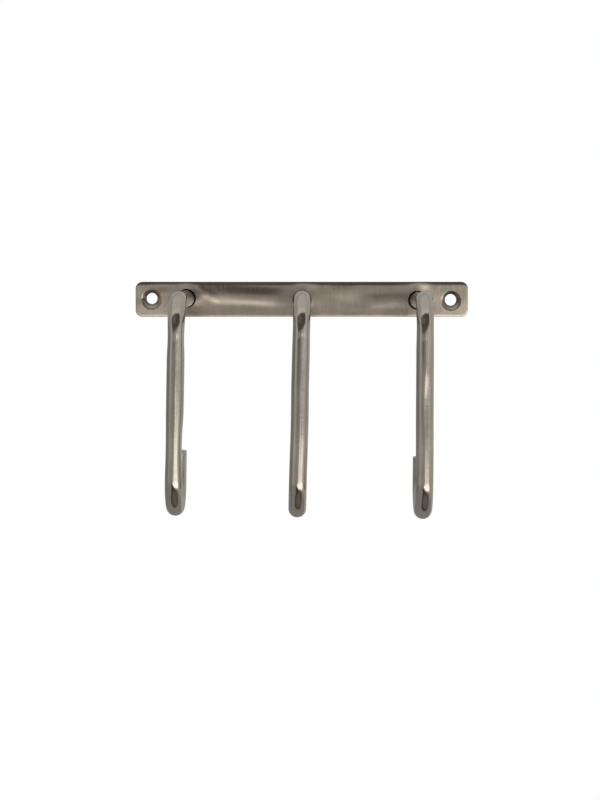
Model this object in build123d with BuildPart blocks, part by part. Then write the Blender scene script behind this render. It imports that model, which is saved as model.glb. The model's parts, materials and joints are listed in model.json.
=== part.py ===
from build123d import *
import os

# Wall hook rack: a flat steel back plate with three bent rod hooks welded into it in a row.
#
# Frame, in millimetres: the wall is the plane Y = 0, the room is on its -Y side, +Z is up and +X runs
# along the plate. The origin is the centre of the plate's back face, which lies flat on the wall.

# ---- Back plate: a length of half-inch flat bar with rounded corners and softened edges ----
PLATE_LENGTH = 120.0
PLATE_HEIGHT = 12.7
PLATE_THICKNESS = 3.2
PLATE_CORNER_RADIUS = 2.5
FRONT_EDGE_RADIUS = 0.4
BACK_EDGE_CHAMFER = 0.2

# ---- Countersunk screw holes, one near each end of the plate ----
SCREW_SPACING = 108.0
SCREW_PAIR_OFFSET = -0.2  # the pair sits this far to +X of the plate's middle
SCREW_RISE = {"left": 0.3, "right": -0.2}  # drilled a touch above and below the centreline
SCREW_HOLE_DIAMETER = 4.2
SCREW_HEAD_DIAMETER = 7.4
SCREW_HEAD_ANGLE = 90.0

# ---- Hook rod: round bar bent twice, out of the wall, down, and back up behind its own leg ----
ROD_DIAMETER = 6.0
STEM_REACH = 37.5  # straight stem in front of the plate
BEND_RADIUS = 9.5  # centreline radius of both bends
SPRING_BACK = 1.0  # the upper bend stops this many degrees short of a right angle
LEG_AND_TIP = 60.7  # every rod is cut to one length, so a longer leg leaves a shorter tip
TIP_EDGE_RADIUS = 0.4

# ---- How a rod is held: it passes through the plate and is welded from behind, ground flush ----
ROD_HOLE_DIAMETER = 6.6
ROD_HOLE_DEBURR = 0.15
WELD_PREP_DEPTH = 1.2
WELD_PREP_ANGLE = 90.0
WELD_ROOT = 0.4  # how far the weld runs on into the gap around the rod
GRINDING_ALLOWANCE = 1.0  # rod left standing behind the plate before it is ground flush

# ---- How each rod sits. The rods are bent and set by hand, so no two are quite alike. ----
# x, rise: where its axis meets the wall plane; leg: straight length between the two bends;
# droop: degrees that the stem points down; lean: that the leg's foot is turned to -X, about the
# stem; swing: that the stem points to +X.
HOOKS = {
    "left": {"x": -41.7, "rise": 0.2, "leg": 51.5, "droop": 0.7, "lean": 0.9, "swing": 0.0},
    "middle": {"x": 0.1, "rise": -0.1, "leg": 52.2, "droop": 0.0, "lean": 1.35, "swing": 0.5},
    "right": {"x": 41.9, "rise": -0.4, "leg": 52.5, "droop": -0.1, "lean": 0.4, "swing": 0.1},
}

rod_radius = ROD_DIAMETER / 2
rod_hole_radius = ROD_HOLE_DIAMETER / 2
weld_prep_radius = rod_hole_radius + WELD_PREP_DEPTH  # a 90 degree cone widens as fast as it deepens
screw_centres = [
    (SCREW_PAIR_OFFSET - SCREW_SPACING / 2, SCREW_RISE["left"]),
    (SCREW_PAIR_OFFSET + SCREW_SPACING / 2, SCREW_RISE["right"]),
]

WALL_FACE = Plane.XZ  # its normal points out of the wall, along -Y
PLATE_FRONT = WALL_FACE.offset(PLATE_THICKNESS)
PLATE_BACK = Plane(origin=(0, 0, 0), x_dir=(1, 0, 0), z_dir=(0, 1, 0))


def rod_plane(hook):
    """The plane of one hook's centreline: local X runs out of the wall and local Y runs up."""
    square = Plane(origin=(hook["x"], 0, hook["rise"]), x_dir=(0, -1, 0), z_dir=(-1, 0, 0))
    return square.rotated((hook["droop"], hook["lean"], hook["swing"]))


def write(builder, name):
    builder.part.label = name
    export_step(builder.part, f"parts/{name}.step")


def make_hook(hook):
    """One bent rod: stem, upper bend, leg, lower bend turning back to the wall, and upright tip."""
    with BuildPart() as rod:
        with BuildLine(rod_plane(hook)) as route:
            stem = Line((-GRINDING_ALLOWANCE, 0), (PLATE_THICKNESS + STEM_REACH, 0))
            bend = JernArc(stem @ 1, stem % 1, BEND_RADIUS, -(90 - SPRING_BACK))
            leg = Line(bend @ 1, bend @ 1 + (bend % 1) * hook["leg"])
            turn = JernArc(leg @ 1, leg % 1, BEND_RADIUS, -180)
            Line(turn @ 1, turn @ 1 + (turn % 1) * (LEG_AND_TIP - hook["leg"]))
        with BuildSketch(Plane(origin=stem @ 0, z_dir=stem % 0)):
            Circle(rod_radius)
        sweep(path=route.line)
        tip_end = rod.faces().filter_by(GeomType.PLANE).sort_by(Axis.Y)[0]
        fillet(tip_end.edges(), TIP_EDGE_RADIUS)
        split(bisect_by=WALL_FACE, keep=Keep.TOP)
    return rod


def make_weld(hook, rod):
    """The ring of weld metal that fills the countersink round a rod at the back of the plate."""
    x, rise = hook["x"], hook["rise"]
    with BuildPart() as weld:
        with BuildSketch(Plane.XY.offset(rise)):
            with BuildLine():
                Polyline(
                    (x, 0),
                    (x + weld_prep_radius, 0),
                    (x + rod_hole_radius, -WELD_PREP_DEPTH),
                    (x + rod_hole_radius, -WELD_PREP_DEPTH - WELD_ROOT),
                    (x, -WELD_PREP_DEPTH - WELD_ROOT),
                    close=True,
                )
            make_face()
        revolve(axis=Axis((x, 0, rise), (0, 1, 0)))
        add(rod.part, mode=Mode.SUBTRACT)
    return weld


os.makedirs("parts", exist_ok=True)

# ---- Back plate ----
with BuildPart() as back_plate:
    with BuildSketch(WALL_FACE):
        RectangleRounded(PLATE_LENGTH, PLATE_HEIGHT, PLATE_CORNER_RADIUS)
    extrude(amount=PLATE_THICKNESS)
    fillet(back_plate.faces().sort_by(Axis.Y)[0].edges(), FRONT_EDGE_RADIUS)
    chamfer(back_plate.faces().sort_by(Axis.Y)[-1].edges(), BACK_EDGE_CHAMFER)
    with Locations(*(PLATE_FRONT * Pos(x, rise, 0) for x, rise in screw_centres)):
        CounterSinkHole(
            SCREW_HOLE_DIAMETER / 2,
            SCREW_HEAD_DIAMETER / 2,
            counter_sink_angle=SCREW_HEAD_ANGLE,
        )
    with Locations(*(PLATE_FRONT * Pos(h["x"], h["rise"], 0) for h in HOOKS.values())):
        CounterSinkHole(rod_hole_radius, rod_hole_radius + ROD_HOLE_DEBURR, counter_sink_angle=90)
    with Locations(*(PLATE_BACK * Pos(h["x"], -h["rise"], 0) for h in HOOKS.values())):
        CounterSinkHole(rod_hole_radius, weld_prep_radius, counter_sink_angle=WELD_PREP_ANGLE)
write(back_plate, "back_plate")

# ---- Hooks and the welds that hold them ----
for position, hook in HOOKS.items():
    hook_rod = make_hook(hook)
    write(hook_rod, f"hook_{position}")
    write(make_weld(hook, hook_rod), f"weld_{position}")
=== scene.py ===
import json
import math

import bpy
from mathutils import Matrix, Vector
from mathutils.geometry import delaunay_2d_cdt


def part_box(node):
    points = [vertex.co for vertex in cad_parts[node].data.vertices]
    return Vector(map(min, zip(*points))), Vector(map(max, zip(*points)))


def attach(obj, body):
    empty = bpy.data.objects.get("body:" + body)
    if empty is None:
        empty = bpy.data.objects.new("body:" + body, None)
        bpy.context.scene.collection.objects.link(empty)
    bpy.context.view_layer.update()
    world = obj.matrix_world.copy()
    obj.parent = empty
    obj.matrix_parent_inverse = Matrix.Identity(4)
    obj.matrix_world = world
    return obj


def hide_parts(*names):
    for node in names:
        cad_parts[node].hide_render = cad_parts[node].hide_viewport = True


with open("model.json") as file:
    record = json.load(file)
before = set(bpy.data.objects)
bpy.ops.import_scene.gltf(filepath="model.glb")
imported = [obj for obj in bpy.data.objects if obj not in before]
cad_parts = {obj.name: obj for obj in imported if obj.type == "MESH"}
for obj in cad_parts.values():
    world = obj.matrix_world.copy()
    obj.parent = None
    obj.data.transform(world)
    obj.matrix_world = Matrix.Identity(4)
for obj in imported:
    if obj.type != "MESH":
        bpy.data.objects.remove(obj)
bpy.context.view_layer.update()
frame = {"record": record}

# Wall hook rack. Everything is in metres, in the frame of the CAD model: the wall is the plane
# Y = 0, the room is on its -Y side, +Z is up, and the origin is the centre of the plate's back.
MM = 0.001

# ---------------------------------------------------------------- sizes, from the frame
PLATE_LO, PLATE_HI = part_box("back_plate")
PLATE_LENGTH = PLATE_HI.x - PLATE_LO.x
PLATE_HEIGHT = PLATE_HI.z - PLATE_LO.z
PLATE_THICKNESS = PLATE_HI.y - PLATE_LO.y
PLATE_CORNER = 2.5 * MM
EDGE_ROUND = 0.18 * MM
BACK_CHAMFER = 0.2 * MM

SCREW_MOUNT = next(m for m in frame["record"]["mounts"] if m["name"] == "screw_holes")
SCREW_RADIUS = SCREW_MOUNT["dims"]["hole_r_mm"] * MM
SCREW_SPACING = SCREW_MOUNT["dims"]["spacing_x_mm"] * MM
SCREW_MIDDLE_X = SCREW_MOUNT["pos_m"][0]
SCREW_RISE = {"left": 0.3 * MM, "right": -0.2 * MM}  # above the middle of the plate

ROD_RADIUS = 3.0 * MM
ROD_HOLE_RADIUS = 3.4 * MM
STEM_REACH = 37.5 * MM  # the straight part of the stem, in front of the plate
BEND_RADIUS = 9.5 * MM  # of the centreline, in both bends
SPRING_BACK = math.radians(1.0)  # the first bend is this much short of a right angle
LEG_AND_TIP = 60.7 * MM  # the straight parts of the leg and the tip, together
TIP_ROUND = 0.4 * MM  # the edge of the sawn tip

# How each rod was bent and set: the leg's length in metres, and three turns in degrees.
HOOKS = {
    "left": {"leg": 51.5 * MM, "droop": 0.7, "lean": 0.9, "swing": 0.0},
    "middle": {"leg": 52.2 * MM, "droop": 0.0, "lean": 1.35, "swing": 0.5},
    "right": {"leg": 52.5 * MM, "droop": -0.1, "lean": 0.4, "swing": 0.1},
}


def root_of(name):
    """Where a rod's axis meets the wall plane: the middle of its weld."""
    lo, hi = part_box("weld_" + name)
    return (lo.x + hi.x) / 2, (lo.z + hi.z) / 2


ROOTS = {name: root_of(name) for name in HOOKS}


# ---------------------------------------------------------------- node helpers
NOISE_ROUGHNESS = 0.55  # how strongly the finer layers of every noise count


def link(tree, value, socket):
    """Puts a number, a colour or another node's output on a socket."""
    if isinstance(value, bpy.types.NodeSocket):
        tree.links.new(value, socket)
    else:
        socket.default_value = value


def math_node(tree, operation, a, b=0.0, c=0.0, clamp=False):
    node = tree.nodes.new("ShaderNodeMath")
    node.operation, node.use_clamp = operation, clamp
    for value, socket in zip((a, b, c), node.inputs):
        link(tree, value, socket)
    return node.outputs[0]


def ramp_between(tree, value, low, high, to_low=0.0, to_high=1.0):
    """A smooth step from to_low to to_high as value goes from low to high."""
    node = tree.nodes.new("ShaderNodeMapRange")
    node.interpolation_type = "SMOOTHSTEP"
    for number, socket in zip((value, low, high, to_low, to_high), node.inputs):
        link(tree, number, socket)
    return node.outputs[0]


def mix_colour(tree, factor, a, b, blend="MIX"):
    node = tree.nodes.new("ShaderNodeMix")
    node.data_type, node.blend_type = "RGBA", blend
    link(tree, factor, node.inputs[0])
    link(tree, a, node.inputs[6])
    link(tree, b, node.inputs[7])
    return node.outputs[2]


def stretched_noise(tree, vector, stretch, detail):
    """Noise drawn out along an axis: stretch is how many features fit in a metre on each axis."""
    scaled = tree.nodes.new("ShaderNodeVectorMath")
    scaled.operation = "MULTIPLY"
    link(tree, vector, scaled.inputs[0])
    scaled.inputs[1].default_value = stretch
    noise = tree.nodes.new("ShaderNodeTexNoise")
    noise.inputs["Scale"].default_value = 1.0
    noise.inputs["Detail"].default_value = detail
    noise.inputs["Roughness"].default_value = NOISE_ROUGHNESS
    tree.links.new(scaled.outputs[0], noise.inputs["Vector"])
    return noise.outputs["Fac"]


def attribute(tree, name, output="Fac"):
    node = tree.nodes.new("ShaderNodeAttribute")
    node.attribute_name = name
    return node.outputs[output]


def bump(tree, height, distance, strength=1.0, normal=None):
    node = tree.nodes.new("ShaderNodeBump")
    node.inputs["Strength"].default_value = strength
    node.inputs["Distance"].default_value = distance
    link(tree, height, node.inputs["Height"])
    if normal is not None:
        tree.links.new(normal, node.inputs["Normal"])
    return node.outputs[0]


def new_material(name):
    material = bpy.data.materials.new(name)
    material.use_nodes = True
    tree = material.node_tree
    return material, tree, tree.nodes["Principled BSDF"]


def uv_tangent(tree):
    node = tree.nodes.new("ShaderNodeTangent")
    node.direction_type = "UV_MAP"
    node.uv_map = "grain"
    return node.outputs[0]


# ---------------------------------------------------------------- materials
STEEL_LIGHT = (0.58, 0.52, 0.455, 1)
STEEL_DEEP = (0.48, 0.42, 0.36, 1)
ROD_LIGHT = (0.58, 0.54, 0.485, 1)
ROD_DEEP = (0.49, 0.45, 0.395, 1)
STEEL_WARM = (0.56, 0.48, 0.40, 1)
# dark oxide for the weld pits, and also the colour of the painted shade in the holes and on the rod
# stems
OXIDE_AND_SHADE = (0.10, 0.085, 0.07, 1)
EDGE_BRIGHT = (0.66, 0.62, 0.56, 1)
MILL_LIGHT, MILL_DARK = (0.42, 0.40, 0.375, 1), (0.30, 0.285, 0.27, 1)
HEAT_STRAW, HEAT_BLUE = (0.46, 0.33, 0.17, 1), (0.17, 0.18, 0.24, 1)

# How many features of each pattern fit in a metre: along X, Y and Z on the plate and the welds, and
# twice across the rod and then along it on the rods.
PLATE_SCRATCHES = (5200, 5200, 110)
PLATE_BANDS = (1100, 900, 45)
PLATE_CLOUDS = (85, 85, 160)
MILL_GRAIN = (240, 240, 600)
SHADE_PATCHES = (420, 420, 420)
ROD_LINES = (3800, 3800, 70)
ROD_RINGS = (220, 220, 900)
ROD_CLOUDS = (150, 150, 60)
BEND_RIPPLES = (760, 760, 320)
WELD_MARKS = (500, 500, 4200)
WELD_BLOTCHES = (700, 700, 700)

# How deep each pattern is cut, and how far apart the rings are that the countersink cutter left.
SCRATCH_DEPTH = 0.0012 * MM
TURNING_DEPTH, TURNING_PITCH = 0.004 * MM, 0.12 * MM
ROD_LINE_DEPTH = 0.002 * MM
RIPPLE_DEPTH = 0.15 * MM
GRINDING_DEPTH, PIT_DEPTH = 0.01 * MM, 0.03 * MM

SHADE_DULLS = 0.3  # roughness that full painted shade adds
BACK_DULLS = 0.14  # roughness that the unpolished back has over the face


def plate_material():
    """Flat bar brushed across its width: fine upright scratches, cloudy tone, brighter edges.

    Its back keeps the mill finish, tinted by heat round the welds."""
    material, tree, shader = new_material("plate_satin_steel")
    place = tree.nodes.new("ShaderNodeTexCoord").outputs["Object"]
    scratches = stretched_noise(tree, place, PLATE_SCRATCHES, detail=4)
    bands = stretched_noise(tree, place, PLATE_BANDS, detail=2)
    clouds = stretched_noise(tree, place, PLATE_CLOUDS, detail=3)
    tone = mix_colour(tree, ramp_between(tree, clouds, 0.3, 0.7), STEEL_DEEP, STEEL_LIGHT)
    tone = mix_colour(tree, ramp_between(tree, bands, 0.35, 0.7, 0.0, 0.35), tone, STEEL_WARM)
    shade = ramp_between(tree, scratches, 0.25, 0.75, 0.93, 1.05)
    tone = mix_colour(tree, 1.0, tone, shade, "MULTIPLY")
    mill = stretched_noise(tree, place, MILL_GRAIN, detail=4)
    mill_tone = mix_colour(tree, mill, MILL_DARK, MILL_LIGHT)
    tone = mix_colour(tree, attribute(tree, "back"), tone, mill_tone)
    heat = math_node(tree, "MULTIPLY_ADD", clouds, 0.5, attribute(tree, "heat"))
    heat = math_node(tree, "MULTIPLY", ramp_between(tree, heat, 0.35, 1.0), attribute(tree, "back"))
    tone = mix_colour(tree, ramp_between(tree, heat, 0.0, 0.4, 0.0, 0.6), tone, HEAT_STRAW)
    tone = mix_colour(tree, ramp_between(tree, heat, 0.4, 1.0, 0.0, 0.75), tone, HEAT_BLUE)
    tone = mix_colour(tree, attribute(tree, "edge"), tone, EDGE_BRIGHT)
    # painted shade: the countersinks and the rods' holes are darkened, broken up by patches
    patches = stretched_noise(tree, place, SHADE_PATCHES, detail=3)
    patches = ramp_between(tree, patches, 0.3, 0.6, 0.55, 1.0)
    shade_mask = math_node(tree, "MULTIPLY", attribute(tree, "painted_shade"), patches)
    tone = mix_colour(tree, shade_mask, tone, OXIDE_AND_SHADE)
    tree.links.new(tone, shader.inputs["Base Color"])
    rough = ramp_between(tree, scratches, 0.25, 0.75, 0.15, 0.21)
    rough = math_node(tree, "MULTIPLY_ADD", attribute(tree, "back"), BACK_DULLS, rough)
    rough = math_node(tree, "ADD", rough, ramp_between(tree, clouds, 0.3, 0.7, -0.03, 0.03))
    rough = math_node(tree, "MULTIPLY_ADD", attribute(tree, "painted_shade"), SHADE_DULLS, rough, clamp=True)
    tree.links.new(rough, shader.inputs["Roughness"])
    shader.inputs["Metallic"].default_value = 1.0
    shader.inputs["Anisotropic"].default_value = 0.75
    tree.links.new(uv_tangent(tree), shader.inputs["Tangent"])
    turning = math_node(tree, "MULTIPLY", attribute(tree, "tool"), 2 * math.pi / TURNING_PITCH)
    normal = bump(tree, math_node(tree, "SINE", turning), TURNING_DEPTH)
    tree.links.new(bump(tree, scratches, SCRATCH_DEPTH, 1.0, normal), shader.inputs["Normal"])
    return material


def rod_material():
    """Round bar polished along its length: faint draw lines, a cloudy tone and rippled bends."""
    material, tree, shader = new_material("rod_satin_steel")
    place = attribute(tree, "rod_place", "Vector")
    lines = stretched_noise(tree, place, ROD_LINES, detail=4)
    rings = stretched_noise(tree, place, ROD_RINGS, detail=3)
    clouds = stretched_noise(tree, place, ROD_CLOUDS, detail=3)
    tone = mix_colour(tree, ramp_between(tree, clouds, 0.3, 0.7), ROD_DEEP, ROD_LIGHT)
    shade = ramp_between(tree, lines, 0.25, 0.75, 0.9, 1.06)
    tone = mix_colour(tree, 1.0, tone, shade, "MULTIPLY")
    tone = mix_colour(tree, attribute(tree, "edge"), tone, EDGE_BRIGHT)
    # painted shade: the stem is darkened towards the plate, most at its root
    tone = mix_colour(tree, attribute(tree, "painted_shade"), tone, OXIDE_AND_SHADE)
    tree.links.new(tone, shader.inputs["Base Color"])
    rough = ramp_between(tree, lines, 0.25, 0.75, 0.09, 0.13)
    rough = math_node(tree, "ADD", rough, ramp_between(tree, rings, 0.35, 0.7, -0.01, 0.03))
    rough = math_node(tree, "MULTIPLY_ADD", attribute(tree, "painted_shade"), SHADE_DULLS, rough, clamp=True)
    tree.links.new(rough, shader.inputs["Roughness"])
    shader.inputs["Metallic"].default_value = 1.0
    shader.inputs["Anisotropic"].default_value = 0.2
    tree.links.new(uv_tangent(tree), shader.inputs["Tangent"])
    ripples = stretched_noise(tree, place, BEND_RIPPLES, detail=1)
    ripples = math_node(tree, "MULTIPLY", ripples, attribute(tree, "bend"))
    normal = bump(tree, ripples, RIPPLE_DEPTH)
    tree.links.new(bump(tree, lines, ROD_LINE_DEPTH, 1.0, normal), shader.inputs["Normal"])
    return material


def weld_material():
    """Weld metal ground flush: coarse level grinding marks, blotchy tone and a few dark pits."""
    material, tree, shader = new_material("ground_weld")
    place = tree.nodes.new("ShaderNodeTexCoord").outputs["Object"]
    marks = stretched_noise(tree, place, WELD_MARKS, detail=3)
    blotches = stretched_noise(tree, place, WELD_BLOTCHES, detail=4)
    tone = mix_colour(tree, ramp_between(tree, blotches, 0.35, 0.65), STEEL_DEEP, STEEL_WARM)
    pits = ramp_between(tree, blotches, 0.68, 0.74, 0.0, 0.8)
    tone = mix_colour(tree, pits, tone, OXIDE_AND_SHADE)
    tree.links.new(tone, shader.inputs["Base Color"])
    tree.links.new(ramp_between(tree, marks, 0.3, 0.7, 0.3, 0.5), shader.inputs["Roughness"])
    shader.inputs["Metallic"].default_value = 1.0
    normal = bump(tree, marks, GRINDING_DEPTH)
    tree.links.new(bump(tree, blotches, PIT_DEPTH, 0.5, normal), shader.inputs["Normal"])
    return material


# ---------------------------------------------------------------- mesh helpers
def smooth_bump(t):
    """A bell that is 1 at 0 and falls smoothly to 0 at -1 and 1."""
    return (1 - t * t) ** 2 if abs(t) < 1 else 0.0


def add_attribute(mesh, name, values, kind):
    """One value for each point of a mesh: a number, or a vector when kind says so."""
    layer = mesh.attributes.new(name, kind, "POINT")
    key = "value" if kind == "FLOAT" else "vector"
    flat = values if kind == "FLOAT" else [x for v in values for x in v]
    layer.data.foreach_set(key, flat)


def make_piece(name, node, material, vertices, faces, corners, point_layers):
    """A smooth-shaded mesh that rides on the rack and stands for a CAD node.

    corners holds the grain map's place for each corner of each face, in the faces' order."""
    mesh = bpy.data.meshes.new(name)
    mesh.from_pydata([tuple(v) for v in vertices], [], faces)
    layer = mesh.uv_layers.new(name="grain")
    layer.data.foreach_set("uv", [value for corner in corners for value in corner])
    for key, (values, kind) in point_layers.items():
        add_attribute(mesh, key, values, kind)
    # only the flat ends of the rods have more than four corners, and they are shaded flat
    mesh.polygons.foreach_set("use_smooth", [len(face) <= 4 for face in faces])
    mesh.materials.append(material)
    piece = bpy.data.objects.new(name, mesh)
    bpy.context.scene.collection.objects.link(piece)
    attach(piece, "root")
    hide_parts(node)
    return piece


# ---------------------------------------------------------------- rod hooks
AROUND = 48  # points in each ring of a rod
STATION_STEP = 0.6 * MM  # and about how far apart its rings are
# Places where the bending tools have pressed a leg: height and half length in mm, and how far the
# leg is pressed in on its -X side and its +X side.
PRESSED = {
    "left": [(-49, 13, 0.12, 0.46), (-12, 8, 0.20, 0.24)],
    "middle": [(-10, 8, 0.08, 0.08)],
    "right": [(-9, 8, 0.12, 0.08)],
}
# Shallow dents: height and half length in mm, angle round from the front towards +X and half angle
# in degrees, and depth in mm.
DENTS = {
    "left": [],
    "middle": [],
    "right": [(-37, 14, 8, 28, 0.18)],
}
# Bows left by hand bending: distance below the first bend and half length in mm, turn in degrees.
BOWS = {
    "left": [(0.0, 2.0, 1.8), (2.6, 2.2, -1.2)],
    "middle": [(0.0, 2.0, 2.0), (2.4, 1.7, -1.7)],
    "right": [(0.0, 2.2, 2.2), (3.2, 2.0, -1.5), (17, 8, -1.0)],
}
# Sideways sway: height and half length in mm, shift in mm.
SWAYS = {
    "left": [(-72, 12, 0.12)],
    "middle": [(-43, 15, 0.13)],
    "right": [(-52, 14, 0.07)],
}
# Painted shade darkens and dulls the stem more and more towards the plate, and most at its root.
STEM_SHADE_REACH, STEM_SHADE = 34.0 * MM, 0.5
ROOT_SHADE_REACH, ROOT_SHADE = 1.0 * MM, 0.7
BEND_FLATTENING = 0.02  # share of its radius that the rod loses across each bend
BEND_WIDENING = 0.4 * BEND_FLATTENING  # and the share that it gains sideways
RIPPLE_START = 0.4  # the ripples begin this share of the radius inside a bend's centreline
FLUSH = 0.01 * MM  # the polished rod's radius is this much less than its stock's
TIP_WEAR = 0.6
TIP_STEPS = 5


def bell_weights(bells, value):
    """How strongly each bell, given by its middle and half width, acts at a value."""
    return [smooth_bump((value - middle) / half) for middle, half, *_ in bells]


def centreline(name):
    """Stations along one rod before it is set: (out, up, heading, bending, travelled), from 0, 0.

    out is the distance from the wall, up the height, heading the angle of travel above
    straight out, and bending runs from 0 on a straight to 1 in the middle of a bend."""
    hook = HOOKS[name]
    runs = [
        ("straight", PLATE_THICKNESS + STEM_REACH),
        ("bend", math.pi / 2 - SPRING_BACK),
        ("straight", hook["leg"]),
        ("bend", math.pi),
        ("straight", LEG_AND_TIP - hook["leg"] - TIP_ROUND),
    ]
    first_bend_end = runs[0][1] + runs[1][1] * BEND_RADIUS
    out, up, heading, travelled = 0.0, 0.0, 0.0, 0.0
    stations = [(out, up, heading, 0.0, travelled)]
    for kind, size in runs:
        length = size if kind == "straight" else size * BEND_RADIUS
        steps = max(2, round(length / STATION_STEP))
        for step in range(1, steps + 1):
            turn = size / steps if kind == "bend" else 0.0
            advance = length / steps
            below = (travelled + advance / 2 - first_bend_end) / MM
            bow = sum(math.radians(bell[2]) * weight
                      for bell, weight in zip(BOWS[name], bell_weights(BOWS[name], below)))
            out += advance * math.cos(heading - turn / 2 + bow)
            up += advance * math.sin(heading - turn / 2 + bow)
            heading -= turn
            travelled += advance
            share = step / steps
            bending = smooth_bump(2 * share - 1) if kind == "bend" else 0.0
            stations.append((out, up, heading + bow, bending, travelled))
    return stations


def turn_matrix(hook):
    """The rod's setting: swing about Z, lean about Y and droop about X, as the CAD model turns it."""
    turns = (("Z", "swing"), ("Y", "lean"), ("X", "droop"))
    matrix = Matrix.Identity(3)
    for axis, key in turns:
        matrix = Matrix.Rotation(math.radians(hook[key]), 3, axis) @ matrix
    return matrix


def make_hook(name, material):
    """One bent rod, as rings of points along its centreline, closed at both ends.

    Its point layers are edge (bright wear), painted_shade (painted shade and dullness towards the
    plate), bend (how rippled it is) and rod_place (twice across the straightened rod and then along
    it, in metres)."""
    root = ROOTS[name]
    setting = turn_matrix(HOOKS[name])
    stations = centreline(name)
    vertices, edge, painted_shade, place, bend = [], [], [], [], []

    def ring(station, radius, edge_value, shade_value):
        out, up, heading, bending, travelled = station
        on_leg = out > STEM_REACH and travelled > STEM_REACH
        height = (up + root[1]) / MM
        pressed = zip(PRESSED[name], bell_weights(PRESSED[name], height)) if on_leg else ()
        pressed = [(fade * minus_x, fade * plus_x) for (_, _, minus_x, plus_x), fade in pressed]
        dents = zip(DENTS[name], bell_weights(DENTS[name], height)) if on_leg else ()
        dents = [dent for dent in dents if dent[1] > 0]
        sway = sum(bell[2] * w for bell, w in zip(SWAYS[name], bell_weights(SWAYS[name], height)))
        for k in range(AROUND):
            angle = 2 * math.pi * k / AROUND - math.pi
            across, normal = math.sin(angle), math.cos(angle)
            local = radius
            for (_, _, middle, half, depth), fade in dents:
                local -= depth * MM * fade * smooth_bump((math.degrees(angle) - middle) / half)
            side = local * across * (1 + BEND_WIDENING * bending) + sway * MM
            lift = local * normal * (1 - BEND_FLATTENING * bending)
            for minus_x, plus_x in pressed:
                side -= (plus_x if across > 0 else minus_x) * MM * across * abs(across)
            o = out - lift * math.sin(heading)
            u = up + lift * math.cos(heading)
            point = setting @ Vector((side, -o, u))
            vertices.append(Vector((point.x + root[0], point.y, point.z + root[1])))
            place.append((ROD_RADIUS * across, ROD_RADIUS * normal, travelled))
            edge.append(edge_value)
            painted_shade.append(shade_value)
            stretched = min(1.0, max(0.0, RIPPLE_START + normal))
            bend.append(math.sqrt(bending) * stretched)

    polished = ROD_RADIUS - FLUSH
    for station in stations:
        past_plate = station[4] - PLATE_THICKNESS
        # painted shade along the stem: darkest at the root, fading towards the bend
        shade_mask = smooth_bump(past_plate / ROOT_SHADE_REACH) if past_plate > 0 else 1.0
        stem_shade = smooth_bump(max(0.0, past_plate) / STEM_SHADE_REACH)
        ring(station, polished, 0.0, max(ROOT_SHADE * shade_mask, STEM_SHADE * stem_shade))
    # the sawn end of the tip, with its edge broken
    out, up, heading, _, travelled = stations[-1]
    for step in range(1, TIP_STEPS + 1):
        t = math.pi / 2 * step / TIP_STEPS
        advance = TIP_ROUND * math.sin(t)
        station = (out + advance * math.cos(heading), up + advance * math.sin(heading), heading, 0.0,
                   travelled + advance)
        ring(station, polished - TIP_ROUND * (1 - math.cos(t)), TIP_WEAR * math.sin(2 * t), 0.0)
    # the first ring is moved into the wall plane, where the rod is ground flush
    for k in range(AROUND):
        vertices[k].y = 0.0
    rings = len(vertices) // AROUND
    faces, corners = [], []
    for r in range(rings - 1):
        for k in range(AROUND):
            m = (k + 1) % AROUND
            faces.append((r * AROUND + k, (r + 1) * AROUND + k, (r + 1) * AROUND + m, r * AROUND + m))
            for column, row in ((k, r), (k, r + 1), (k + 1, r + 1), (k + 1, r)):
                along = place[row * AROUND][2] / (2 * math.pi * ROD_RADIUS)
                corners.append((column / AROUND, along))
    # both ends are closed: the rear one lies flush with the plate's back
    for first, order in ((0, 1), ((rings - 1) * AROUND, -1)):
        cap = [first + k for k in range(AROUND)][::order]
        faces.append(tuple(cap))
        corners += [(place[i][0] / ROD_RADIUS, place[i][1] / ROD_RADIUS) for i in cap]
    layers = {
        "edge": (edge, "FLOAT"),
        "painted_shade": (painted_shade, "FLOAT"),
        "bend": (bend, "FLOAT"),
        "rod_place": (place, "FLOAT_VECTOR"),
    }
    return make_piece(f"rod_{name}", f"hook_{name}", material, vertices, faces, corners,
                      layers)


# ---------------------------------------------------------------- back plate
GRID_STEP = 0.6 * MM  # spacing of the faces' inner points
LOOP_STEP = 0.45 * MM  # and of the points along the outline
# The face has been buffed by hand, which left it slightly hollow and crowned.
FACE_SET_BACK = 0.19 * MM  # the buffed face's mean distance behind the bar's nominal face
TOP_DUB_WIDTH, TOP_DUB_DROP = 1.5 * MM, 0.13 * MM
BOTTOM_DUB_WIDTH, BOTTOM_DUB_DROP = 0.7 * MM, 0.006 * MM
SIDE_DUB_WIDTH, SIDE_DUB_DROP = 1.1 * MM, 0.02 * MM
ROOT_CALM = 8.5 * MM  # the top edge is dubbed less this close to a rod
CALM_SHARE = 0.8  # share of its dubbing that is missing right above the rod
# Swells and hollows in mm: middle x and z, half length and half height, slant as a slope, and height
# out of the face.
SWELLS = [
    (-21.5, 1.2, 18.5, 4.0, -0.045, 0.125),
    (-34.5, 2.2, 5.5, 2.3, -0.48, 0.045),
    (-51.0, 4.6, 5.0, 2.2, 0.0, -0.05),
    (30.5, -0.6, 9.0, 3.3, 0.05, 0.055),
    (15.0, 2.8, 6.0, 3.8, 0.0, 0.036),
    (-40.5, 6.8, 4.5, 4.2, 0.0, 0.08),
    (42.4, 6.8, 4.5, 4.2, 0.0, 0.08),
    (1.4, 6.8, 5.0, 4.2, 0.0, 0.08),
]
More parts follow.
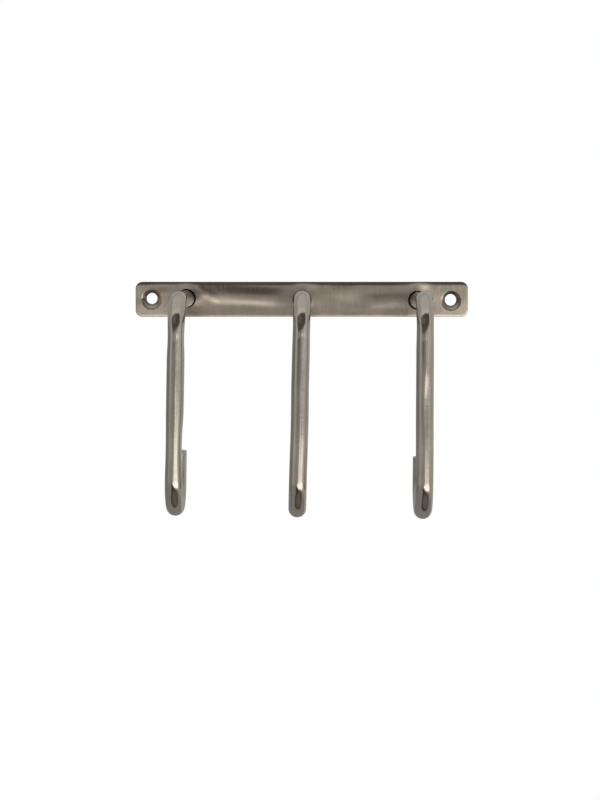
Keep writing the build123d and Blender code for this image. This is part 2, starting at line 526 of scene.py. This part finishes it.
# Each end leans back towards its foot: where it starts along the plate, and its slope.
END_LEAN = {-1: (41.0 * MM, 0.031), 1: (36.0 * MM, 0.0215)}
END_LEAN_EASE = 7 * MM  # the lean comes in over this length
CORNER_STEPS = 12
ROUND_COUNT = 64  # points round every opening and weld
GRID_ROW_SHARE = 0.87  # spacing of the rows of inner points, as a share of the columns' spacing
GRID_MARGIN = 0.35 * MM  # inner points keep at least this far from the loops
SAME_PLACE = 1e-8  # points that are closer together than this count as one


def outline(inset):
    """Points at a distance inside the plate's outline, anticlockwise as seen from the room."""
    half_x, half_z, radius = PLATE_LENGTH / 2, PLATE_HEIGHT / 2, PLATE_CORNER
    points = []
    corners = [(1, 1, 0), (-1, 1, 90), (-1, -1, 180), (1, -1, 270)]
    for index, (sx, sz, start) in enumerate(corners):
        cx, cz = sx * (half_x - radius), sz * (half_z - radius)
        for step in range(CORNER_STEPS + 1):
            angle = math.radians(start + 90 * step / CORNER_STEPS)
            n = (math.cos(angle), math.sin(angle))
            points.append((cx + n[0] * (radius - inset), cz + n[1] * (radius - inset)))
        nx, nz, _ = corners[(index + 1) % 4]
        end = (nx * (half_x - radius), nz * (half_z - radius))
        length = math.hypot(end[0] - cx, end[1] - cz)
        steps = max(2, round(length / LOOP_STEP))
        n = (math.cos(math.radians(start + 90)), math.sin(math.radians(start + 90)))
        for step in range(1, steps):
            s = step / steps
            points.append((cx + (end[0] - cx) * s + n[0] * (radius - inset),
                           cz + (end[1] - cz) * s + n[1] * (radius - inset)))
    return points


def circle(centre, radius):
    """Points round an opening, anticlockwise as seen from the room."""
    angles = [2 * math.pi * k / ROUND_COUNT for k in range(ROUND_COUNT)]
    return [(centre[0] + radius * math.cos(a), centre[1] + radius * math.sin(a)) for a in angles]


def edge_distance(x, z):
    """How far a point of the face is from the plate's outline."""
    qx = abs(x) - (PLATE_LENGTH / 2 - PLATE_CORNER)
    qz = abs(z) - (PLATE_HEIGHT / 2 - PLATE_CORNER)
    if qx > 0 and qz > 0:
        return PLATE_CORNER - math.hypot(qx, qz)
    return min(PLATE_LENGTH / 2 - abs(x), PLATE_HEIGHT / 2 - abs(z))


def face_y(x, z):
    """The buffed front face: a little wavy, leaning at its ends, and dubbed over at its edges."""
    y = -PLATE_THICKNESS + FACE_SET_BACK
    for x0, z0, half_x, half_z, slant, height in SWELLS:
        across = (x / MM - x0) / half_x
        up = (z / MM - z0 - slant * (x / MM - x0)) / half_z
        y -= height * MM * smooth_bump(across * abs(across)) * smooth_bump(up)
    side = 1 if x > 0 else -1
    start, slope = END_LEAN[side]
    reach = min(1.0, max(0.0, (abs(x) - start) / END_LEAN_EASE))
    y -= slope * z * reach * reach * (3 - 2 * reach)
    calm = max(smooth_bump((x - root_x) / ROOT_CALM) for root_x, _ in ROOTS.values())
    for distance, width, drop in (
        (PLATE_HEIGHT / 2 - z, TOP_DUB_WIDTH, TOP_DUB_DROP * (1 - CALM_SHARE * calm)),
        (PLATE_HEIGHT / 2 + z, BOTTOM_DUB_WIDTH, BOTTOM_DUB_DROP),
        (edge_distance(x, z), SIDE_DUB_WIDTH, SIDE_DUB_DROP),
    ):
        near = max(0.0, 1 - distance / width)
        y += drop * near * near
    return y


def fill(loops, keep):
    """Triangles inside loops[0] and outside the other loops, with a grid of inner points.

    keep(x, z, margin) says whether a place is on the face, at least margin away from its loops.
    Returns the points, the triangles, and for each loop its places among the points."""
    points, edges = [], []
    for loop in loops:
        first = len(points)
        points += loop
        edges += [(first + k, first + (k + 1) % len(loop)) for k in range(len(loop))]
    rows = int(PLATE_HEIGHT / (GRID_STEP * GRID_ROW_SHARE)) + 1
    columns = int(PLATE_LENGTH / GRID_STEP) + 1
    for row in range(rows + 1):
        z = -PLATE_HEIGHT / 2 + row * PLATE_HEIGHT / rows
        for column in range(columns + 1):
            x = -PLATE_LENGTH / 2 + (column + 0.5 * (row % 2)) * PLATE_LENGTH / columns
            if keep(x, z, GRID_MARGIN):
                points.append((x, z))
    result = delaunay_2d_cdt([Vector(p) for p in points], edges, [], 0, SAME_PLACE)
    vertices, triangles, sources = result[0], result[2], result[3]
    found = {source: place for place, group in enumerate(sources) for source in group}
    inside = []
    for triangle in triangles:
        x = sum(vertices[i].x for i in triangle) / 3
        z = sum(vertices[i].y for i in triangle) / 3
        if keep(x, z, 0.0):
            inside.append(tuple(triangle))
    loop_places, first = [], 0
    for loop in loops:
        loop_places.append([found[first + k] for k in range(len(loop))])
        first += len(loop)
    return vertices, inside, loop_places


# The two steps that cut each screw hole did not share a centre: the countersink's shift in mm,
# and the burr left in the hole.
SINK_SHIFT = {"left": (0.0, -0.3), "right": (0.2, -0.25)}
BURR = {"left": 0.1 * MM, "right": 0.0}
RIM_RADIUS = 3.8 * MM
RIM_ROUND = 0.9 * MM
# Each rod sits a little to one side in its hole: the hole's shift from the rod in mm.
ROD_HOLE_SHIFT = {"left": (0.08, 0.06), "middle": (0.0, -0.28), "right": (-0.06, 0.0)}
HEAT_REACH = 5.5 * MM  # how far the welding has coloured the back
GUARD = 0.32 * MM  # band of even rings kept round every opening
RIM_BAND = 1.35 * MM  # and the wider one kept along the outline, where the face is dubbed over
RIM_BAND_RINGS = 7
GUARD_SHARES = (0.5, 0.0)  # how far outside the opening the rings lie, as a share of GUARD
EDGE_WEAR, BACK_EDGE_WEAR = 0.45, 0.2  # how bright the edges are worn
# How dark the painted shade in the countersink is: at the foot of its rounded rim, what its cone
# adds, and in the bore.
RIM_DARK, CONE_DARK, BORE_DARK = 0.25, 0.4, 0.85
SINK_EDGE_WIDTH, SINK_EDGE_DEPTH = 0.06 * MM, 0.1 * MM  # the steeper foot of the cone
# The top of a rod's hole: inset and depth in mm, and how dark its painted shade is.
ROD_HOLE_RIM = ((0.02, 0.01, 0.5), (0.05, 0.04, 1.0), (0.06, 0.3, 1.0))
ROD_CLEARANCE = 0.02 * MM  # between the rod's stock and the narrowest part of its hole
ROD_HOLE_STEP = 0.1 * MM  # the hole is this much wider right in front of that part


def shifted(places, shifts):
    """Each named place, moved by its shift in mm."""
    return {name: (x + shifts[name][0] * MM, z + shifts[name][1] * MM)
            for name, (x, z) in places.items()}


def flat_grain(vertices, faces):
    """The grain map of a piece that is laid out flat, as it is seen along Y."""
    return [(vertices[i][0] / PLATE_LENGTH, vertices[i][2] / PLATE_LENGTH)
            for face_corners in faces for i in face_corners]


def make_plate(material):
    """The bar with its five openings, as one closed mesh.

    Its point layers are edge (bright wear), painted_shade (painted shade in the holes), tool
    (distance from the countersink's axis, for its turning rings), back (1 on the back face) and heat
    (nearness to a weld)."""
    screws = {
        "left": (SCREW_MIDDLE_X - SCREW_SPACING / 2, SCREW_RISE["left"]),
        "right": (SCREW_MIDDLE_X + SCREW_SPACING / 2, SCREW_RISE["right"]),
    }
    sinks = shifted(screws, SINK_SHIFT)
    rod_holes = shifted(ROOTS, ROD_HOLE_SHIFT)
    weld_lo, weld_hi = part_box("weld_middle")
    weld_radius = (weld_hi.x - weld_lo.x) / 2
    weld_depth = weld_hi.y - weld_lo.y
    vertices, faces, edge, painted_shade, tool = [], [], [], [], []

    def add(x, y, z, edge_value=0.0, shade_value=0.0, tool_value=RIM_RADIUS):
        vertices.append((x, y, z))
        edge.append(edge_value)
        painted_shade.append(shade_value)
        tool.append(tool_value)
        return len(vertices) - 1

    def add_ring(points, height, edge_value=0.0, shade_value=0.0, tool_value=RIM_RADIUS):
        """Adds a ring of points; height gives y, as a number or from (x, z)."""
        y = height if callable(height) else (lambda x, z: height)
        return [add(x, y(x, z), z, edge_value, shade_value, tool_value) for x, z in points]

    def join(a, b, outward):
        """Joins two rings by a band of quads and returns b; outward says which way they face."""
        for k in range(len(a)):
            m = (k + 1) % len(a)
            quad = (a[k], b[k], b[m], a[m])
            faces.append(quad if outward else quad[::-1])
        return b

    openings = [(sinks[s], RIM_RADIUS) for s in screws]
    openings += [(rod_holes[h], ROD_HOLE_RADIUS) for h in ROOTS]

    def face(openings, inset, guard, height, flip):
        """Triangles over one face of the plate; returns the vertices along each of its loops."""

        def keep(x, z, margin):
            if edge_distance(x, z) < inset + margin:
                return False
            return all(math.dist((x, z), c) > r + guard + margin for c, r in openings)

        loops = [outline(inset)] + [circle(c, r + guard) for c, r in openings]
        flat, triangles, places = fill(loops, keep)
        index = [add(v.x, height(v.x, v.y), v.y) for v in flat]
        for triangle in triangles:
            corner = tuple(index[i] for i in triangle)
            faces.append(corner[::-1] if flip else corner)
        return [[index[i] for i in place] for place in places]

    front = face(openings, EDGE_ROUND + RIM_BAND, GUARD, face_y, False)

    # outer edge: rounding, side, back chamfer
    previous = front[0]
    for step in range(1, RIM_BAND_RINGS + 1):
        ring = add_ring(outline(EDGE_ROUND + RIM_BAND * (1 - step / RIM_BAND_RINGS)), face_y)
        previous = join(previous, ring, True)
    start = [vertices[i][1] for i in previous]
    steps = 6
    for step in range(1, steps + 1):
        t = math.pi / 2 * step / steps
        depth = EDGE_ROUND * (1 - math.cos(t))
        ring = [add(x, y + depth, z, EDGE_WEAR * math.sin(2 * t))
                for (x, z), y in zip(outline(EDGE_ROUND * (1 - math.sin(t))), start)]
        previous = join(previous, ring, True)
    for y, inset, wear in (
        (-PLATE_THICKNESS / 2, 0, 0.0),
        (-BACK_CHAMFER, 0, BACK_EDGE_WEAR),
        (0, BACK_CHAMFER, BACK_EDGE_WEAR),
    ):
        previous = join(previous, add_ring(outline(inset), y, wear), True)
    back_loops = [previous]

    # countersunk screw holes
    for s, previous in zip(screws, front[1:3]):
        for share in GUARD_SHARES:
            ring = add_ring(circle(sinks[s], RIM_RADIUS + GUARD * share), face_y)
            previous = join(previous, ring, False)
        bore = SCREW_RADIUS - BURR[s]
        # painted shade darkens the countersink's cone and bore
        profile = []
        steps = 8
        for step in range(1, steps + 1):
            t = math.pi / 4 * step / steps
            cone_r = RIM_RADIUS - RIM_ROUND * math.sin(t)
            cone_depth = RIM_ROUND * (1 - math.cos(t))
            profile.append((cone_r, cone_depth, RIM_DARK * step / steps))
        steps = 6
        for step in range(1, steps + 1):
            drop = (cone_r - bore - SINK_EDGE_WIDTH) * step / steps
            profile.append((cone_r - drop, cone_depth + drop, RIM_DARK + CONE_DARK * step / steps))
        bottom = profile[-1][1] + SINK_EDGE_DEPTH
        profile.append((bore, bottom, BORE_DARK))
        top = [vertices[i][1] for i in previous]
        for r, depth, dark in profile:
            share = depth / bottom
            centre = tuple(a + (b - a) * share for a, b in zip(sinks[s], screws[s]))
            ring = [add(x, y * (1 - share) - PLATE_THICKNESS * share + depth, z, 0.0, dark, r)
                    for (x, z), y in zip(circle(centre, r), top)]
            previous = join(previous, ring, False)
        # painted shade in the bore, down to the back
        for y, r in ((-BACK_CHAMFER, bore), (0, SCREW_RADIUS + BACK_CHAMFER / 2)):
            previous = join(previous, add_ring(circle(screws[s], r), y, 0.0, 0.5, bore), False)
        back_loops.append(previous)

    # holes for the rods: a sharp rim, a bore and rim gap darkened with painted shade, and the
    # countersink that the weld fills
    for h, previous in zip(ROOTS, front[3:]):
        for share in GUARD_SHARES:
            ring = add_ring(circle(rod_holes[h], ROD_HOLE_RADIUS + GUARD * share), face_y)
            previous = join(previous, ring, False)
        top = [vertices[i][1] for i in previous]
        for inset, depth, dark in ROD_HOLE_RIM:
            points = circle(rod_holes[h], ROD_HOLE_RADIUS - inset * MM)
            ring = [add(x, y + depth * MM, z, 0.0, dark) for (x, z), y in zip(points, top)]
            previous = join(previous, ring, False)
        bore = ROD_RADIUS + ROD_CLEARANCE
        for y, r, dark in (
            (-weld_depth, bore + ROD_HOLE_STEP, 1.0),
            (-(weld_radius - bore), bore, 1.0),
            (0, weld_radius, 0.2),
        ):
            previous = join(previous, add_ring(circle(ROOTS[h], r), y, 0.0, dark), False)
        back_loops.append(previous)

    # back face: its loops are merged with the rings that end on it
    back_openings = [(screws[s], SCREW_RADIUS + BACK_CHAMFER / 2) for s in screws]
    back_openings += [(ROOTS[h], weld_radius) for h in ROOTS]
    back = face(back_openings, BACK_CHAMFER, 0.0, lambda x, z: 0.0, True)
    merged = {}
    for inner, outer in zip(back, back_loops):
        merged.update(zip(inner, outer))
    faces = [tuple(merged.get(i, i) for i in face_corners) for face_corners in faces]
    used = sorted({i for face_corners in faces for i in face_corners})
    renumber = {old: new for new, old in enumerate(used)}
    faces = [tuple(renumber[i] for i in face_corners) for face_corners in faces]
    vertices = [vertices[i] for i in used]
    layers = {key: ([values[i] for i in used], "FLOAT")
              for key, values in (("edge", edge), ("painted_shade", painted_shade), ("tool", tool))}
    back = [1.0 if y > -BACK_CHAMFER / 2 else 0.0 for _, y, _ in vertices]
    heat = [max(smooth_bump((math.dist((x, z), ROOTS[h]) - weld_radius) / HEAT_REACH) for h in ROOTS)
            for x, _, z in vertices]
    layers |= {"back": (back, "FLOAT"), "heat": (heat, "FLOAT")}
    return make_piece("plate", "back_plate", material, vertices, faces,
                      flat_grain(vertices, faces), layers)


# ---------------------------------------------------------------- welds
WELD_FIT = 0.985  # the weld's largest radius, as a share of the CAD weld's
WELD_CLEARANCE = 0.005 * MM  # between the weld and the rod's stock
WELD_FLANK_SHARES = (0.0, 0.2, 0.4, 0.6, 0.8, 0.95)
WELD_FACE_RINGS = 7
WELD_RAGGED = 0.012  # how strongly the outline wanders, as a share of the radius
WELD_RIPPLE = 0.012 * MM  # size of the waves on the ground face
WELD_UNDERCUT = 0.05 * MM  # how much deeper the face is sunk at its outer edge
WELD_PHASE_STEP = 1.7  # keeps the three outlines from being alike


def make_weld(name, material, phase):
    """Weld metal ground flush behind a rod: an uneven ring with an undercut edge and a wavy face."""
    lo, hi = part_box("weld_" + name)
    x0, z0 = ROOTS[name]
    outer = (hi.x - lo.x) / 2
    inner = ROD_RADIUS + WELD_CLEARANCE
    fitted = outer * WELD_FIT
    width = fitted - inner
    # the flank lies just inside the plate's countersink, a cone as deep as it is wide
    rows = [(inner + width * share, -width * (1 - share)) for share in WELD_FLANK_SHARES]
    rows += [(fitted - width * step / WELD_FACE_RINGS, 0.0) for step in range(WELD_FACE_RINGS + 1)]
    face_start = len(WELD_FLANK_SHARES)
    vertices = []
    for row, (r, y) in enumerate(rows):
        for k in range(ROUND_COUNT):
            angle = 2 * math.pi * k / ROUND_COUNT
            ragged = math.sin(5 * angle + phase) + 0.6 * math.sin(11 * angle + 2 * phase)
            shrink = 1 - WELD_RAGGED * (1.6 + ragged) * (r - inner) / (outer - inner)
            sink = 0.0
            if row >= face_start:
                ripple = math.sin(7 * angle + 3 * phase + r / (0.5 * MM))
                ripple += math.sin(3 * angle - r / (0.9 * MM))
                sink = -WELD_RIPPLE * (2 + ripple) - (WELD_UNDERCUT if row == face_start else 0.0)
            x = x0 + r * shrink * math.cos(angle)
            z = z0 + r * shrink * math.sin(angle)
            vertices.append((x, min(0.0, y + sink), z))
    faces = []
    for row in range(len(rows)):
        a, b = row * ROUND_COUNT, (row + 1) % len(rows) * ROUND_COUNT
        for k in range(ROUND_COUNT):
            m = (k + 1) % ROUND_COUNT
            faces.append((a + k, b + k, b + m, a + m))
    return make_piece(f"weld_bead_{name}", f"weld_{name}", material, vertices, faces,
                      flat_grain(vertices, faces), {})


# ---------------------------------------------------------------- stage, light and camera
FLOOR_DROP = 0.9  # the rack hangs this far above the floor, so that it can be looked at from below
FLOOR_SIZE, SURROUND_RADIUS = 12, 5


def stage():
    """A white floor and a white surround, which only the camera sees."""
    white, tree, shader = new_material("studio_white")
    shader.inputs["Base Color"].default_value = (0, 0, 0, 1)
    shader.inputs["Specular IOR Level"].default_value = 0.0
    shader.inputs["Emission Color"].default_value = (1, 1, 1, 1)
    shader.inputs["Emission Strength"].default_value = 1.0
    bpy.ops.mesh.primitive_plane_add(size=FLOOR_SIZE, location=(0, 0, -FLOOR_DROP))
    floor = bpy.context.object
    floor.name = "floor"
    bpy.ops.mesh.primitive_uv_sphere_add(segments=48, ring_count=24, radius=SURROUND_RADIUS,
                                         location=(0, 0, 0))
    surround = bpy.context.object
    surround.name = "surround"
    for item in (floor, surround):
        item.data.materials.append(white)
        item.visible_glossy = False
        item.visible_diffuse = False
        item.visible_shadow = False


# What the polished steel sees round it. Azimuth 0 is straight back at the camera and grows to +X.
# A wall is (azimuth from, to, softness), (elevation from, to, softness) in degrees, and its colour;
# 180 and -180 have no edge. Each lies over the ones before it.
AMBIENT = (0.285, 0.28, 0.275)
WALLS = {
    "floor": ((-180, 180, 1), (-180, -46, 40), (0.33, 0.33, 0.305)),
    "upper room": ((-180, 180, 1), (6, 180, 12), (0.47, 0.47, 0.455)),
    "right wall": ((74, 168, 40), (-28, 180, 24), (0.54, 0.53, 0.505)),
    "ceiling": ((-180, 180, 1), (48, 180, 14), (0.63, 0.625, 0.60)),
    "front wall": ((-76, 74, 22), (-4, 62, 8), (0.65, 0.645, 0.62)),
    "front of the ceiling": ((-56, 56, 24), (40, 62, 16), (0.76, 0.75, 0.72)),
    "horizon": ((-50, 30, 80), (-180, 1.4, 3), (0.40, 0.386, 0.362)),
    "horizon on the right": ((30, 78, 30), (-24, 1.4, 3), (0.61, 0.60, 0.57)),
}
# Rounded patches in front of the walls: (azimuth, half width), (elevation, half height), how square
# the corners are, how soft the edge is as a share of the size, and the colour.
PATCHES = {
    "low lamp": ((28, 38), (-12.6, 8.5), 3.2, 0.11, (2.05, 1.98, 1.89)),
    "strip lamp": ((13, 8), (-5.2, 2.9), 2.0, 0.3, (1.66, 1.6, 1.53)),
}
# The dark front of the room, above and below the lens. Each patch is given by the steel that shows
# it: across is the sideways part of the steel's normal, tilt how far in degrees the normal looks up.
# (across, half width), (tilt, half height), slant in degrees of tilt per unit across, squareness,
# softness, colour.
DARK_FRONTS = {
    "above the lens": ((-0.02, 0.47), (12.3, 11.4), -5, 3.6, 0.12, (0.105, 0.093, 0.083)),
    "haze above the lens": ((-0.2, 0.2), (14, 6), 0, 2.0, 0.5, (0.19, 0.17, 0.15)),
    "below the lens": ((0.08, 0.37), (-31, 17.5), 0, 2.8, 0.14, (0.085, 0.075, 0.066)),
    "shoulder below the lens": ((0.01, 0.25), (-17, 9.5), 30, 2.8, 0.14, (0.085, 0.075, 0.066)),
    "haze below the lens": ((0.11, 0.24), (-30, 13), 0, 2.8, 0.35, (0.19, 0.168, 0.146)),
}


def studio_light():
    """All the light there is: the world, painted with the walls, the patches and the dark fronts."""
    world = bpy.data.worlds.new("studio")
    bpy.context.scene.world = world
    world.use_nodes = True
    tree = world.node_tree
    background = tree.nodes["Background"]
    direction = tree.nodes.new("ShaderNodeTexCoord").outputs["Generated"]
    split = tree.nodes.new("ShaderNodeSeparateXYZ")
    tree.links.new(direction, split.inputs[0])
    x, y, z = split.outputs
    azimuth = math_node(tree, "ARCTAN2", x, math_node(tree, "MULTIPLY", y, -1.0))
    azimuth = math_node(tree, "DEGREES", azimuth)
    elevation = math_node(tree, "DEGREES", math_node(tree, "ARCSINE", z))
    colour = (*AMBIENT, 1)
    for across, height, tint in WALLS.values():
        inside = 1.0
        for value, (low, high, soft) in ((azimuth, across), (elevation, height)):
            if low > -180:
                rise = ramp_between(tree, value, low - soft / 2, low + soft / 2)
                inside = math_node(tree, "MULTIPLY", inside, rise)
            if high < 180:
                fall = ramp_between(tree, value, high - soft / 2, high + soft / 2, 1.0, 0.0)
                inside = math_node(tree, "MULTIPLY", inside, fall)
        colour = mix_colour(tree, inside, colour, (*tint, 1))
    # the normal of the steel that shows this direction to a lens in front of it
    towards_lens = math_node(tree, "SUBTRACT", 1.0, y)
    square_sum = math_node(tree, "MULTIPLY", x, x)
    for part in (towards_lens, z):
        square_sum = math_node(tree, "MULTIPLY_ADD", part, part, square_sum)
    across_normal = math_node(tree, "DIVIDE", x, math_node(tree, "SQRT", square_sum))
    tilt = math_node(tree, "DEGREES", math_node(tree, "ARCTAN2", z, towards_lens))
    patches = [(azimuth, elevation, across, height, 0, square, soft, tint)
               for across, height, square, soft, tint in PATCHES.values()]
    patches += [(across_normal, tilt, *patch) for patch in DARK_FRONTS.values()]
    for first, second, across, height, slant, square, soft, tint in patches:
        second = math_node(tree, "MULTIPLY_ADD", first, slant, second)
        reach = 0.0
        for value, (middle, half) in ((first, across), (second, height)):
            offset = math_node(tree, "MULTIPLY_ADD", value, 1 / half, -middle / half)
            term = math_node(tree, "POWER", math_node(tree, "ABSOLUTE", offset), square)
            reach = math_node(tree, "ADD", reach, term)
        reach = math_node(tree, "POWER", reach, 1 / square)
        inside = ramp_between(tree, reach, 1 - soft, 1 + soft, 1.0, 0.0)
        colour = mix_colour(tree, inside, colour, (*tint, 1))
    link(tree, colour, background.inputs["Color"])
    background.inputs["Strength"].default_value = 1.0


# The camera looks straight at the wall from the height of the plate, and its lens is shifted down
# to centre the rack in the picture.
CAMERA_DISTANCE = 686.337 * MM  # from the plate's nominal face
CAMERA_X, CAMERA_Z = 6.0 * MM, 0.3 * MM
SENSOR_WIDTH, FOCAL_LENGTH = 36, 85.59  # in millimetres, as Blender counts them
SHIFT_X, SHIFT_Y = -0.02303, -0.12694


def camera():
    data = bpy.data.cameras.new("camera")
    data.sensor_width, data.lens = SENSOR_WIDTH, FOCAL_LENGTH
    data.shift_x, data.shift_y = SHIFT_X, SHIFT_Y
    item = bpy.data.objects.new("camera", data)
    item.location = (CAMERA_X, PLATE_LO.y - CAMERA_DISTANCE, CAMERA_Z)
    item.rotation_euler = (math.pi / 2, 0, 0)
    bpy.context.scene.collection.objects.link(item)
    bpy.context.scene.camera = item


make_plate(plate_material())
rod_steel = rod_material()
for hook_name in HOOKS:
    make_hook(hook_name, rod_steel)
weld_steel = weld_material()
for number, hook_name in enumerate(HOOKS):
    make_weld(hook_name, weld_steel, WELD_PHASE_STEP * number)
stage()
studio_light()
camera()
bpy.context.scene.view_settings.view_transform = "Standard"
